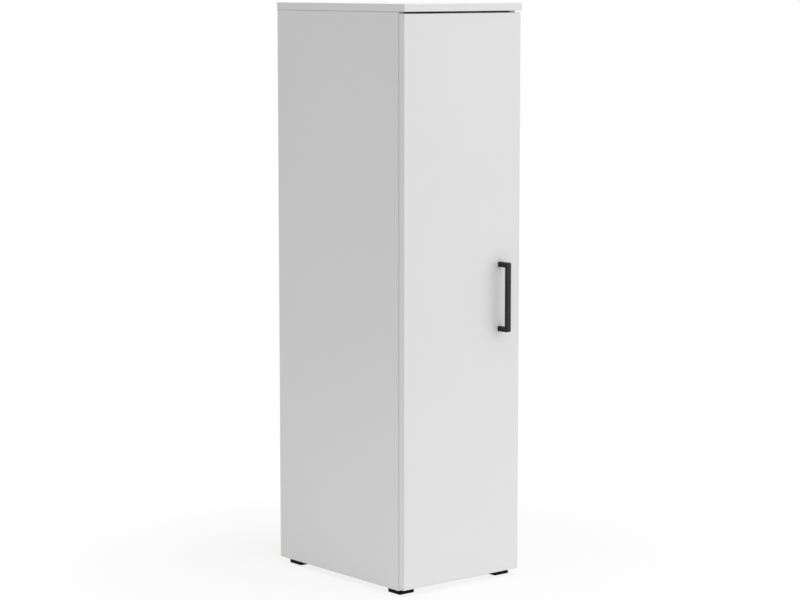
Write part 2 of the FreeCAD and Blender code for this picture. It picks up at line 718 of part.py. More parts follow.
# Hinges: plate and arm on the left side, cup in the door, one curved link between two pivots
arm_pivots = []
cup_pivots = []
plate_screws = []
arm_screws = []
cup_screws = []
PIVOT_BORE = "pivot_dia + fit_play * 2"
LINK_BORE = "pivot_dia + running_fit * 2"
ARM_SCREW_BORE = "arm_screw_dia + fit_play * 2"
for name, height in HINGES:
    plate_low = height + " - plate_half"
    base = box("wall_x", "side_front_y + plate_near", plate_low,
               "plate_thick", "plate_far - plate_near", "plate_half * 2")
    block = box("wall_x", "side_front_y + block_near", height + " - block_half",
                "web_low", "block_far - block_near", "block_half * 2")
    holes = []
    for inset in ("arm_screw_near", "arm_screw_far"):
        at_y = "side_front_y + " + inset
        holes.append(rod("-x", "wall_x + web_low", at_y, height, ARM_SCREW_BORE, "arm_screw_grip"))
        grip = "arm_sheet + arm_screw_grip - fit_play"
        arm_screws.append(
            screw("-x", "x", "wall_x + arm_web_top", at_y, height, "arm_screw_dia", grip,
                  "arm_screw_head_dia", "arm_screw_head")
        )
    for spread in ("- plate_screw_spread", "+ plate_screw_spread"):
        at_y = "side_front_y + plate_screw_inset"
        at_z = height + " " + spread
        holes.append(rod("x", "wall_x", at_y, at_z, "plate_screw_dia + fit_play * 2", "plate_thick"))
        grip = "plate_thick + plate_screw_grip"
        plate_screws.append(
            screw("-x", "x", "wall_x + plate_thick", at_y, at_z, "plate_screw_dia", grip,
                  "plate_screw_head_dia", "plate_screw_head")
        )
    finish(cut(fuse(base, block), *holes), "hinge_plate_" + name)

    sheet_pieces = [
        box("wall_x + web_low", "side_front_y + arm_front", height + " - arm_inside_half - arm_sheet",
            "arm_sheet", "arm_back - arm_front", "(arm_inside_half + arm_sheet) * 2")
    ]
    for low in (" - arm_inside_half - arm_sheet", " + arm_inside_half"):
        sheet_pieces.append(
            box("wall_x + arm_cheek_low", "side_front_y + arm_front", height + low,
                "arm_web_top - arm_cheek_low", "arm_back - arm_front", "arm_sheet")
        )
        sheet_pieces.append(
            box("arm_pivot_x - arm_nose_dia / 2", "pivot_y", height + low,
                "arm_nose_dia", "pivot_forward + arm_front + arm_sheet", "arm_sheet")
        )
        sheet_pieces.append(rod("z", "arm_pivot_x", "pivot_y", height + low, "arm_nose_dia", "arm_sheet"))
    eye_low = height + " - arm_inside_half - arm_sheet * 2"
    eye = rod("z", "arm_pivot_x", "pivot_y", eye_low, PIVOT_BORE, "(arm_inside_half + arm_sheet * 2) * 2")
    holes = []
    for inset in ("arm_screw_near", "arm_screw_far"):
        at_y = "side_front_y + " + inset
        holes.append(rod("x", "wall_x + web_low", at_y, height, ARM_SCREW_BORE, "arm_sheet"))
    finish(cut(fuse(*sheet_pieces), eye, *holes), "hinge_arm_" + name)
    pivot_low = height + " - arm_pivot_half"
    arm_pivots.append(rod("z", "arm_pivot_x", "pivot_y", pivot_low, "pivot_dia", "arm_pivot_half * 2"))

    low_z = height + " - link_half"
    outer = rod("z", "link_bend_x", "link_bend_y", low_z, "link_bend * 2 + link_thick", "link_half * 2")
    inner = rod("z", "link_bend_x", "link_bend_y", low_z, "link_bend * 2 - link_thick", "link_half * 2")
    behind = box("link_bend_x - link_bend - link_thick", "pivot_y", low_z,
                 "(link_bend + link_thick) * 2", "(link_bend + link_thick) * 2", "link_half * 2")
    strip = cut(outer, inner, behind)
    near_eye = rod("z", "cup_pivot_x", "pivot_y", low_z, "link_eye_dia", "link_half * 2")
    far_eye = rod("z", "arm_pivot_x", "pivot_y", low_z, "link_eye_dia", "link_half * 2")
    near_hole = rod("z", "cup_pivot_x", "pivot_y", low_z, LINK_BORE, "link_half * 2")
    far_hole = rod("z", "arm_pivot_x", "pivot_y", low_z, LINK_BORE, "link_half * 2")
    finish(cut(fuse(strip, near_eye, far_eye), near_hole, far_hole), "hinge_link_" + name)

    flange = part_body("cup_flange_" + name)
    sketch = sketch_on(flange, "XZ_Plane")
    rectangle(sketch, "flange_near + flange_far", "flange_half * 2")
    pad(flange, sketch, "flange_thick")
    soften(flange, "flange_round", "Fillet", lambda c, d, b: near(abs(d.y), 1))
    place(flange, "cup_x - flange_near", "door_back_y + flange_thick", height + " - flange_half")
    can = rod("-y", "cup_x", "door_back_y", height, "cup_dia", "cup_depth")
    room = rod("-y", "cup_x", "door_back_y + flange_thick", height,
               "cup_dia - cup_wall * 2", "cup_depth - cup_floor + flange_thick")
    pivot_low = height + " - cup_pivot_half"
    eye = rod("z", "cup_pivot_x", "pivot_y", pivot_low, PIVOT_BORE, "cup_pivot_half * 2")
    holes = []
    for spread in ("- cup_screw_spread", "+ cup_screw_spread"):
        at_z = height + " " + spread
        holes.append(rod("y", "cup_x + cup_screw_offset", "door_back_y", at_z,
                         "cup_screw_dia + fit_play * 2", "flange_thick"))
        cup_screws.append(
            screw("-y", "y", "cup_x + cup_screw_offset", "door_back_y + flange_thick", at_z,
                  "cup_screw_dia", "cup_screw_grip + flange_thick - fit_play",
                  "cup_screw_head_dia", "cup_screw_head")
        )
    finish(cut(fuse(flange, can), room, eye, *holes), "hinge_cup_" + name)
    cup_pivots.append(rod("z", "cup_pivot_x", "pivot_y", pivot_low, "pivot_dia", "cup_pivot_half * 2"))
finish(group(arm_pivots), "arm_pivots")
finish(group(cup_pivots), "cup_pivots")
finish(group(plate_screws), "plate_screws")
finish(group(arm_screws), "arm_screws")
finish(group(cup_screws), "cup_screws")

# Check every object, then write one file for each piece
doc.recompute()
for obj in doc.Objects:
    if "Invalid" in obj.State or "Error" in obj.State:
        raise RuntimeError("object in error: " + obj.Label)
os.makedirs("parts", exist_ok=True)
for label, obj in parts:
    if obj.Shape.isNull() or not obj.Shape.isValid():
        raise RuntimeError("bad shape: " + label)
    obj.Shape.exportStep(os.path.join("parts", label + ".step"))
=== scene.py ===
"""Looks of a tall storage cupboard: surface finishes, small hardware, floor, light and camera.

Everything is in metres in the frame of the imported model: +Z up, the door towards -Y, the floor at Z = 0.
"""

import logging
import math
from abc import ABC, abstractmethod
from dataclasses import dataclass, field
from enum import Enum

import bmesh
import bpy
import numpy as np
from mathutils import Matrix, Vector


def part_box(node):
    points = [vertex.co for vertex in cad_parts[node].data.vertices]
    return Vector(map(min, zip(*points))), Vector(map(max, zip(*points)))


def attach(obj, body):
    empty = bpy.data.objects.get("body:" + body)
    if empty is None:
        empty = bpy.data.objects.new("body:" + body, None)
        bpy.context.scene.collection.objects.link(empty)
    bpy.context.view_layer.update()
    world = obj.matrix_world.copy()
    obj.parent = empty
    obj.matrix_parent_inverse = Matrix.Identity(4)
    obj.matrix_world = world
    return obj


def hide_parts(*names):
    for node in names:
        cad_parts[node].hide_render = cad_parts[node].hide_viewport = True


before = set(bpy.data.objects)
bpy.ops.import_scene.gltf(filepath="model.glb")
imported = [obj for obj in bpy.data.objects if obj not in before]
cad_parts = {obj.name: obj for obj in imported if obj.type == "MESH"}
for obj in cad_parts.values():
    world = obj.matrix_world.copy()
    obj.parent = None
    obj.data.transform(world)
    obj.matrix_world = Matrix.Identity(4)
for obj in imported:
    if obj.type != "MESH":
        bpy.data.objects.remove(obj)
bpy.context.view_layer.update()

MM = 0.001
SHARP_ANGLE = math.radians(40)
MERGE_DISTANCE = 1e-7
BUMP_STRENGTH = 0.7
WHITE_STRENGTH = 1.0
LOG = logging.getLogger("cupboard")

# Octaves of a noise pattern: for smooth clouds, for chips and grain, and for fine fibres
SOFT_DETAIL = 2.0
GRAIN_DETAIL = 3.0
FINE_DETAIL = 4.0

# The three hinges, as their nodes' names end
HINGE_NAMES = ("low", "middle", "high")

Tree = bpy.types.NodeTree
Socket = bpy.types.NodeSocket
Material = bpy.types.Material
Places = list[float] | np.ndarray


class Body(Enum):
    """The bodies of the frame that new pieces ride on."""

    CARCASS = "carcass"
    DOOR = "door"


class Slot(Enum):
    """Names of material slots for the screws, the handle and the bumpers."""

    SCREW = "screw_steel"
    HANDLE = "black_metal"
    BUMPER = "bumper"


class Face(Enum):
    """A face of a board, as its axis and the side of the board that it is on."""

    LEFT = (0, -1)
    RIGHT = (0, 1)
    FRONT = (1, -1)
    BACK = (1, 1)
    UNDER = (2, -1)
    TOP = (2, 1)


def linear(hex_code: str) -> tuple[float, float, float, float]:
    """Turn an sRGB hex colour into linear red, green, blue and an opaque alpha.

    Args:
        hex_code: Six hex digits after a hash sign.

    Returns:
        Four numbers from 0 to 1.
    """
    steps = np.array([int(hex_code[at:at + 2], 16) for at in (1, 3, 5)]) / 255
    light = np.where(steps <= 0.04045, steps / 12.92, ((steps + 0.055) / 1.055) ** 2.4)
    return (*light.tolist(), 1.0)


def per_metre(size_mm: float) -> float:
    """Texture scale that repeats once in a real size given in millimetres."""
    return 1 / (size_mm * MM)


def add(tree: Tree, kind: str, inputs: dict[str | int, object], **settings: object) -> bpy.types.NodeOutputs:
    """Add one shader node, set its properties, and fill or link its inputs.

    Args:
        tree: Node tree that receives the node.
        kind: Blender's type name of the node, without the words that all shader nodes share.
        inputs: Input name or number, with either a socket to link from or a plain value.
        **settings: Properties of the node itself, such as operation or data_type.

    Returns:
        The outputs of the new node.
    """
    node = tree.nodes.new("ShaderNode" + kind)
    for key, value in settings.items():
        setattr(node, key, value)
    for key, value in inputs.items():
        if isinstance(value, bpy.types.NodeSocket):
            tree.links.new(value, node.inputs[key])
        else:
            node.inputs[key].default_value = value
    return node.outputs


# Finishes


@dataclass(frozen=True)
class Finish(ABC):
    """A surface finish, named for the real material, that makes one Blender material."""

    name: str

    def make(self) -> Material:
        """Build the material's node tree.

        Returns:
            The new material.
        """
        material = bpy.data.materials.new(self.name)
        material.use_nodes = True
        tree = material.node_tree
        tree.nodes.clear()
        surface = add(tree, "BsdfPrincipled", {})[0]
        add(tree, "OutputMaterial", {"Surface": surface})
        point = add(tree, "TexCoord", {})["Object"]
        self.shade(tree, surface.node, point)
        return material

    @abstractmethod
    def shade(self, tree: Tree, shader: bpy.types.Node, point: Socket) -> None:
        """Fill the shader's inputs.

        Args:
            tree: The material's node tree.
            shader: Its Principled shader.
            point: Object coordinates of the shaded point.
        """

    def relief(self, tree: Tree, shader: bpy.types.Node, pattern: Socket, height_mm: float) -> None:
        """Let a pattern from 0 to 1 stand up from the surface.

        Args:
            tree: The material's node tree.
            shader: Its Principled shader.
            pattern: The pattern.
            height_mm: Height of the pattern's top over its bottom.
        """
        height = add(tree, "Math", {0: pattern, 1: height_mm * MM}, operation="MULTIPLY")[0]
        normal = add(tree, "Bump", {"Strength": BUMP_STRENGTH, "Distance": 1.0, "Height": height})[0]
        tree.links.new(normal, shader.inputs["Normal"])


@dataclass(frozen=True)
class Melamine(Finish):
    """White melamine-faced chipboard: paper pressed on under heat, edge bands glued on, other edges sawn.

    The eye sees a clean satin white with soft reflections, a hairline where a band meets the face, a thin
    line of painted shade where two boards butt together, and brown chips wherever a saw or a drill has cut
    the core.
    """

    node: str = ""
    banded: tuple[Face, ...] = ()
    raw: tuple[Face, ...] = ()
    shaded_joints: tuple[Face, ...] = ()
    face_hex: str = "#F0F0F0"
    cloud_hex: str = "#EDEDED"
    band_joint_hex: str = "#D2D2D0"
    # Painted shade: colour of a dark line drawn along a face where another board butts on
    joint_shade_hex: str = "#8E8E8C"
    chip_hexes: tuple[str, str, str] = ("#C9A87D", "#9C7950", "#DCC39C")
    dust_hex: str = "#A9855A"
    roughness: tuple[float, float] = (0.36, 0.44)
    raw_roughness: float = 0.9
    cloud_mm: float = 240.0
    # The real pearl, band joints and joint shade are finer, and are drawn this coarse so that they show
    pearl_mm: float = 1.1
    pearl_height_mm: float = 0.03
    band_mm: float = 1.0
    band_joint_mm: float = 0.25
    joint_shade_mm: float = 0.7
    chip_mm: float = 1.5
    chip_stretch: float = 0.4
    chip_wobbles: float = 1.7
    chip_height_mm: float = 0.12
    pale_limit: float = 0.8
    dust_mm: float = 0.5
    dust_range: tuple[float, float] = (0.4, 0.7)
    dust_cover: float = 0.7
    skin_mm: float = 0.05
    round_mm: float = 1.2

    def cut_core(self, tree: Tree, local: Socket, half: Vector) -> Socket:
        """Mask of the sawn edges, bores and grooves, where the core shows.

        A point is in a bore or groove when it lies inside the board's box on every axis, clear of the
        rounded edges.

        Args:
            tree: The material's node tree.
            local: Coordinates from the board's centre.
            half: Half of the board's size on each axis.

        Returns:
            A socket that is 1 on the raw core and 0 elsewhere.
        """
        thin = min(range(3), key=lambda axis: half[axis])
        distance = add(tree, "VectorMath", {0: local}, operation="ABSOLUTE")[0]
        apart = add(tree, "SeparateXYZ", {0: distance})
        signed = add(tree, "SeparateXYZ", {0: local})
        core = 1.0
        for axis in range(3):
            limit = half[axis] - (self.skin_mm if axis == thin else self.round_mm) * MM
            within = add(tree, "Math", {0: apart[axis], 1: limit}, operation="LESS_THAN")[0]
            core = add(tree, "Math", {0: core, 1: within}, operation="MULTIPLY")[0]
        for side in self.raw:
            axis, sign = side.value
            outward = add(tree, "Math", {0: signed[axis], 1: float(sign)}, operation="MULTIPLY")[0]
            limit = half[axis] - self.skin_mm * MM
            sawn = add(tree, "Math", {0: outward, 1: limit}, operation="GREATER_THAN")[0]
            core = add(tree, "Math", {0: core, 1: sawn}, operation="MAXIMUM")[0]
        return core

    def edge_lines(
        self, tree: Tree, local: Socket, half: Vector,
        sides: tuple[Face, ...], inset_mm: float, width_mm: float,
    ) -> Socket | float:
        """Mask of a fine line along some edges of the board.

        Args:
            tree: The material's node tree.
            local: Coordinates from the board's centre.
            half: Half of the board's size on each axis.
            sides: Edges that have the line.
            inset_mm: Distance from the edge to the middle of the line.
            width_mm: Width of the line.

        Returns:
            A socket that is 1 on a line and 0 elsewhere, or 0 where no edge has one.
        """
        signed = add(tree, "SeparateXYZ", {0: local})
        lines = 0.0
        for side in sides:
            axis, sign = side.value
            place = sign * (half[axis] - inset_mm * MM)
            width = width_mm * MM / 2
            line = add(tree, "Math", {0: signed[axis], 1: place, 2: width}, operation="COMPARE")[0]
            lines = add(tree, "Math", {0: lines, 1: line}, operation="MAXIMUM")[0]
        return lines

    def face_colour(self, tree: Tree, local: Socket, half: Vector, cloud: Socket) -> Socket:
        """Colour of the white skin with its joints.

        Args:
            tree: The material's node tree.
            local: Coordinates from the board's centre.
            half: Half of the board's size on each axis.
            cloud: Slow pattern that varies the white.

        Returns:
            The colour.
        """
        white, grey = linear(self.face_hex), linear(self.cloud_hex)
        skin = add(tree, "Mix", {0: cloud, 6: white, 7: grey}, data_type="RGBA")[2]
        bands = self.edge_lines(tree, local, half, self.banded, self.band_mm, self.band_joint_mm)
        banded = add(tree, "Mix", {0: bands, 6: skin, 7: linear(self.band_joint_hex)}, data_type="RGBA")[2]
        # Painted shade: a dark line along each face where another board butts on
        joint_shade_lines = self.edge_lines(tree, local, half, self.shaded_joints, self.joint_shade_mm / 2, self.joint_shade_mm)
        return add(tree, "Mix", {0: joint_shade_lines, 6: banded, 7: linear(self.joint_shade_hex)}, data_type="RGBA")[2]

    def core_look(self, tree: Tree, local: Socket, half: Vector) -> tuple[Socket, Socket]:
        """Colour and height of the cut core: ragged chips laid along the board, with finer dust between them.

        Args:
            tree: The material's node tree.
            local: Coordinates from the board's centre.
            half: Half of the board's size on each axis.

        Returns:
            The colour, and a height from 0 to 1.
        """
        stretch = [1.0, 1.0, 1.0]
        stretch[max(range(3), key=lambda axis: half[axis])] = self.chip_stretch
        scale = per_metre(self.chip_mm)
        laid = add(tree, "Mapping", {"Vector": local, "Scale": stretch})[0]
        quick = scale * self.chip_wobbles
        wobble = add(tree, "TexNoise", {"Vector": laid, "Scale": quick, "Detail": GRAIN_DETAIL})["Color"]
        shift = Vector((1.0, 1.0, 1.0)) * self.chip_mm * MM
        ragged = add(tree, "VectorMath", {0: wobble, 1: shift, 2: laid}, operation="MULTIPLY_ADD")[0]
        chips = add(tree, "TexVoronoi", {"Vector": ragged, "Scale": scale})["Color"]
        flake = add(tree, "SeparateColor", {0: chips})
        light, dark, pale = (linear(code) for code in self.chip_hexes)
        brown = add(tree, "Mix", {0: flake[0], 6: light, 7: dark}, data_type="RGBA")[2]
        rare = add(tree, "Math", {0: flake[1], 1: self.pale_limit}, operation="GREATER_THAN")[0]
        chipped = add(tree, "Mix", {0: rare, 6: brown, 7: pale}, data_type="RGBA")[2]
        fine = per_metre(self.dust_mm)
        grit = add(tree, "TexNoise", {"Vector": laid, "Scale": fine, "Detail": GRAIN_DETAIL})[0]
        none, full = self.dust_range
        dust = add(
            tree, "MapRange", {0: grit, "From Min": none, "From Max": full, "To Max": self.dust_cover}
        )[0]
        colour = add(tree, "Mix", {0: dust, 6: chipped, 7: linear(self.dust_hex)}, data_type="RGBA")[2]
        return colour, flake[2]

    def shade(self, tree: Tree, shader: bpy.types.Node, point: Socket) -> None:
        """Layer the satin face, the joints and the chipped core.

        Args:
            tree: The material's node tree.
            shader: Its Principled shader.
            point: Object coordinates of the shaded point.
        """
        low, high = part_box(self.node)
        half = (high - low) / 2
        local = add(tree, "VectorMath", {0: point, 1: (low + high) / 2}, operation="SUBTRACT")[0]
        slow, fast = per_metre(self.cloud_mm), per_metre(self.pearl_mm)
        cloud = add(tree, "TexNoise", {"Vector": point, "Scale": slow, "Detail": SOFT_DETAIL})[0]
        pearl = add(tree, "TexNoise", {"Vector": point, "Scale": fast, "Detail": SOFT_DETAIL})[0]
        core = self.cut_core(tree, local, half)
        face = self.face_colour(tree, local, half, cloud)
        board, torn = self.core_look(tree, local, half)
        colour = add(tree, "Mix", {0: core, 6: face, 7: board}, data_type="RGBA")[2]
        tree.links.new(colour, shader.inputs["Base Color"])
        smooth, dull = self.roughness
        satin = add(tree, "MapRange", {0: cloud, "To Min": smooth, "To Max": dull})[0]
        rough = add(tree, "Mix", {0: core, 2: satin, 3: self.raw_roughness})[0]
        tree.links.new(rough, shader.inputs["Roughness"])
        lower = self.pearl_height_mm / self.chip_height_mm
        skin = add(tree, "Math", {0: pearl, 1: lower}, operation="MULTIPLY")[0]
        height = add(tree, "Mix", {0: core, 2: skin, 3: torn})[0]
        self.relief(tree, shader, height, self.chip_height_mm)


@dataclass(frozen=True)
class Hardboard(Finish):
    """Thin hardboard: wet wood fibre pressed to a sheet, lacquered white inside and left bare outside.

    The eye sees a plain white lining from the front, and a mottled brown felt of fibres from behind.
    """

    node: str = "back_panel"
    lacquer_hex: str = "#EEEEED"
    fibre_hexes: tuple[str, str] = ("#9A7A56", "#7F6142")
    fleck_hex: str = "#AB8C66"
    fibre_mm: float = 1.6
    fibre_range: tuple[float, float] = (0.7, 1.3)
    fibre_height_mm: float = 0.08
    mottle_mm: float = 45.0
    fleck_mm: float = 3.2
    fleck_range: tuple[float, float] = (0.56, 0.74)
    fleck_bend: float = 1.2
    skin_mm: float = 0.05
    lacquer_roughness: float = 0.42
    fibre_roughness: float = 0.82

    def shade(self, tree: Tree, shader: bpy.types.Node, point: Socket) -> None:
        """Mix the brown fibre with the lacquer of the inner face.

        Args:
            tree: The material's node tree.
            shader: Its Principled shader.
            point: Object coordinates of the shaded point.
        """
        low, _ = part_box(self.node)
        limit = low.y + self.skin_mm * MM
        across = add(tree, "SeparateXYZ", {0: point})[1]
        inside = add(tree, "Math", {0: across, 1: limit}, operation="LESS_THAN")[0]
        slow, fast, rare = (per_metre(size) for size in (self.mottle_mm, self.fibre_mm, self.fleck_mm))
        mottle = add(tree, "TexNoise", {"Vector": point, "Scale": slow, "Detail": FINE_DETAIL})[0]
        fibre = add(tree, "TexNoise", {"Vector": point, "Scale": fast, "Detail": FINE_DETAIL})[0]
        fleck = add(
            tree, "TexNoise",
            {"Vector": point, "Scale": rare, "Detail": GRAIN_DETAIL, "Distortion": self.fleck_bend},
        )[0]
        none, full = self.fleck_range
        sparse = add(tree, "MapRange", {0: fleck, "From Min": none, "From Max": full})[0]
        blend = add(tree, "Math", {0: mottle, 1: fibre}, operation="ADD")[0]
        light, dark = self.fibre_range
        share = add(tree, "MapRange", {0: blend, "From Min": light, "From Max": dark})[0]
        warm, deep = (linear(code) for code in self.fibre_hexes)
        brown = add(tree, "Mix", {0: share, 6: warm, 7: deep}, data_type="RGBA")[2]
        felted = add(tree, "Mix", {0: sparse, 6: brown, 7: linear(self.fleck_hex)}, data_type="RGBA")[2]
        colour = add(tree, "Mix", {0: inside, 6: felted, 7: linear(self.lacquer_hex)}, data_type="RGBA")[2]
        tree.links.new(colour, shader.inputs["Base Color"])
        rough = add(tree, "Mix", {0: inside, 2: self.fibre_roughness, 3: self.lacquer_roughness})[0]
        tree.links.new(rough, shader.inputs["Roughness"])
        self.relief(tree, shader, fibre, self.fibre_height_mm)


@dataclass(frozen=True)
class Grained(Finish):
    """A dark coat or moulding with a fine grain all over, which breaks up its soft highlights."""

    base_hex: str = "#141415"
    grain_hex: str = "#1E1E1F"
    roughness: tuple[float, float] = (0.26, 0.4)
    specular: float = 0.28
    # The real grain is finer, and is drawn this coarse so that it shows
    grain_mm: float = 0.7
    grain_range: tuple[float, float] = (0.75, 1.25)
    grain_height_mm: float = 0.05
    patch_mm: float = 14.0

    def shade(self, tree: Tree, shader: bpy.types.Node, point: Socket) -> None:
        """Vary colour and roughness by grain and patches, and break the surface with grain.

        Args:
            tree: The material's node tree.
            shader: Its Principled shader.
            point: Object coordinates of the shaded point.
        """
        slow, fast = per_metre(self.patch_mm), per_metre(self.grain_mm)
        patch = add(tree, "TexNoise", {"Vector": point, "Scale": slow, "Detail": GRAIN_DETAIL})[0]
        grain = add(tree, "TexNoise", {"Vector": point, "Scale": fast, "Detail": GRAIN_DETAIL})[0]
        blend = add(tree, "Math", {0: patch, 1: grain}, operation="ADD")[0]
        none, full = self.grain_range
        share = add(tree, "MapRange", {0: blend, "From Min": none, "From Max": full})[0]
        dark, pale = linear(self.base_hex), linear(self.grain_hex)
        colour = add(tree, "Mix", {0: share, 6: dark, 7: pale}, data_type="RGBA")[2]
        tree.links.new(colour, shader.inputs["Base Color"])
        shiny, dull = self.roughness
        rough = add(tree, "MapRange", {0: share, "To Min": shiny, "To Max": dull})[0]
        tree.links.new(rough, shader.inputs["Roughness"])
        shader.inputs["Specular IOR Level"].default_value = self.specular
        self.relief(tree, shader, grain, self.grain_height_mm)


@dataclass(frozen=True)
class Plated(Finish):
    """Plated steel or cast zinc: a bright metal skin with faint working lines and dull handling marks."""

    base_hex: str = "#D3D0CA"
    dull_hex: str = "#B4B1AB"
    roughness: tuple[float, float] = (0.24, 0.38)
    line_mm: float = 0.35
    line_height_mm: float = 0.006
    line_stretch: tuple[float, float, float] = (1.0, 0.04, 1.0)
    mark_mm: float = 6.0

    def shade(self, tree: Tree, shader: bpy.types.Node, point: Socket) -> None:
        """Draw lines along the metal and dull marks over it.

        Args:
            tree: The material's node tree.
            shader: Its Principled shader.
            point: Object coordinates of the shaded point.
        """
        shader.inputs["Metallic"].default_value = 1.0
        mapped = add(tree, "Mapping", {"Vector": point, "Scale": self.line_stretch})[0]
        fast, slow = per_metre(self.line_mm), per_metre(self.mark_mm)
        lines = add(tree, "TexNoise", {"Vector": mapped, "Scale": fast, "Detail": SOFT_DETAIL})[0]
        marks = add(tree, "TexNoise", {"Vector": point, "Scale": slow, "Detail": FINE_DETAIL})[0]
        bright, dull = linear(self.base_hex), linear(self.dull_hex)
        colour = add(tree, "Mix", {0: marks, 6: bright, 7: dull}, data_type="RGBA")[2]
        tree.links.new(colour, shader.inputs["Base Color"])
        # Each pattern goes from 0 to 1, so that both together reach 2
        both = add(tree, "Math", {0: lines, 1: marks}, operation="ADD")[0]
        polished, worn = self.roughness
        rough = add(tree, "MapRange", {0: both, "From Max": 2.0, "To Min": polished, "To Max": worn})[0]
        tree.links.new(rough, shader.inputs["Roughness"])
        self.relief(tree, shader, lines, self.line_height_mm)


@dataclass(frozen=True)
class Beech(Finish):
    """Turned beech: pale pinkish wood with short dark flecks along the grain."""

    pale_hex: str = "#DDBD93"
    dark_hex: str = "#BE9468"
    fleck_mm: float = 0.8
    fleck_height_mm: float = 0.04
    stretch: tuple[float, float, float] = (1.0, 1.0, 0.15)
    roughness: float = 0.6

    def shade(self, tree: Tree, shader: bpy.types.Node, point: Socket) -> None:
        """Stretch flecks along the wood.

        Args:
            tree: The material's node tree.
            shader: Its Principled shader.
            point: Object coordinates of the shaded point.
        """
        mapped = add(tree, "Mapping", {"Vector": point, "Scale": self.stretch})[0]
        short = per_metre(self.fleck_mm)
        fleck = add(tree, "TexNoise", {"Vector": mapped, "Scale": short, "Detail": FINE_DETAIL})[0]
        pale, dark = linear(self.pale_hex), linear(self.dark_hex)
        colour = add(tree, "Mix", {0: fleck, 6: pale, 7: dark}, data_type="RGBA")[2]
        tree.links.new(colour, shader.inputs["Base Color"])
        shader.inputs["Roughness"].default_value = self.roughness
        self.relief(tree, shader, fleck, self.fleck_height_mm)


@dataclass(frozen=True)
class Silicone(Finish):
    """Cast silicone: a milky, slightly see-through rubber with dust on it."""

    clear_hex: str = "#F2F4F3"
    dusty_hex: str = "#D9DBD9"
    dust_mm: float = 2.5
    dust_height_mm: float = 0.01
    transmission: float = 0.55
    refraction: float = 1.41
    roughness: tuple[float, float] = (0.2, 0.5)

    def shade(self, tree: Tree, shader: bpy.types.Node, point: Socket) -> None:
        """Spread dust over a part-clear body.

        Args:
            tree: The material's node tree.
            shader: Its Principled shader.
            point: Object coordinates of the shaded point.
        """
        speck = per_metre(self.dust_mm)
        dust = add(tree, "TexNoise", {"Vector": point, "Scale": speck, "Detail": FINE_DETAIL})[0]
        clear, dusty = linear(self.clear_hex), linear(self.dusty_hex)
        colour = add(tree, "Mix", {0: dust, 6: clear, 7: dusty}, data_type="RGBA")[2]
        tree.links.new(colour, shader.inputs["Base Color"])
        clean, dull = self.roughness
        rough = add(tree, "MapRange", {0: dust, "To Min": clean, "To Max": dull})[0]
        tree.links.new(rough, shader.inputs["Roughness"])
        shader.inputs["Transmission Weight"].default_value = self.transmission
        shader.inputs["IOR"].default_value = self.refraction
        self.relief(tree, shader, dust, self.dust_height_mm)


# Sprayed powder, fused in an oven: an even black with a fine orange peel that breaks up its soft shine
POWDER_COAT = Grained("powder_coated_zinc")
# Injection moulded in an eroded tool: a dull black with a leathery grain and almost no shine
MOULDED_PLASTIC = Grained(
    "moulded_polypropylene", base_hex="#060607", grain_hex="#0D0D0E", roughness=(0.5, 0.62), specular=0.08,
    grain_mm=0.5, grain_height_mm=0.04,
)
# Rolled strip, pressed and nickel plated: a warm bright metal with faint lines along the strip
NICKEL_PLATE = Plated("nickel_plated_steel")
# Cold headed and zinc plated: a bluish metal with cloudy dull spots from handling
ZINC_PLATE = Plated(
    "zinc_plated_steel", base_hex="#C3C6C8", dull_hex="#9DA1A4", roughness=(0.28, 0.42), mark_mm=2.5,
    line_stretch=(1.0, 1.0, 1.0),
)
# Die cast and left bare: a grey metal with a dull, slightly pitted skin
CAST_ZINC = Plated(
    "die_cast_zinc", base_hex="#B2B3B4", dull_hex="#8D8F91", roughness=(0.38, 0.55), line_mm=0.6, mark_mm=4.0,
    line_stretch=(1.0, 1.0, 1.0), line_height_mm=0.02,
)
# Turned and fluted hardwood: pale, with short dark flecks
BEECH = Beech("turned_beech")
# Cast in a mould and stuck on: milky and part clear, dulled by dust
SILICONE = Silicone("cast_silicone")


# Meshes from arrays


def grid_quads(rows: int, columns: int) -> np.ndarray:
    """Quads of a grid whose rows close into rings.

    Point (i, j) has index i * columns + j, and each quad joins (i, j), (i, j+1), (i+1, j+1) and (i+1, j).

    Args:
        rows: Number of rings.
        columns: Points in each ring.

    Returns:
        An array of shape (quads, 4).
    """
    ring = np.arange(rows - 1)[:, None] * columns
    step = np.arange(columns)[None, :]
    after = (step + 1) % columns
    corners = (ring + step, ring + after, ring + columns + after, ring + columns + step)
    return np.stack(corners, axis=-1).reshape(-1, 4)


def lattice(across: Places, along: Places, up: Places) -> np.ndarray:
    """Every combination of places on the three axes, as an array of points."""
    return np.stack(np.meshgrid(across, along, up, indexing="ij"), axis=-1).reshape(-1, 3)


def new_piece(name: str, points: np.ndarray, faces: list[list[int]], material: Material) -> bpy.types.Object:
    """Make a closed, smooth-shaded mesh object at the origin.

    Args:
        name: Name of the piece.
        points: Vertices, shape (n, 3), in the frame.
        faces: Vertex indices of each face.
        material: Finish of the piece.

    Returns:
        The new object, linked to the scene.
    """
    mesh = bpy.data.meshes.new(name)
    mesh.from_pydata(points.tolist(), [], faces)
    work = bmesh.new()
    work.from_mesh(mesh)
    bmesh.ops.remove_doubles(work, verts=work.verts, dist=MERGE_DISTANCE)
    bmesh.ops.recalc_face_normals(work, faces=work.faces)
    work.to_mesh(mesh)
    work.free()
    mesh.polygons.foreach_set("use_smooth", np.ones(len(mesh.polygons), dtype=bool))
    mesh.set_sharp_from_angle(angle=SHARP_ANGLE)
    mesh.materials.append(material)
    piece = bpy.data.objects.new(name, mesh)
    bpy.context.scene.collection.objects.link(piece)
    return piece


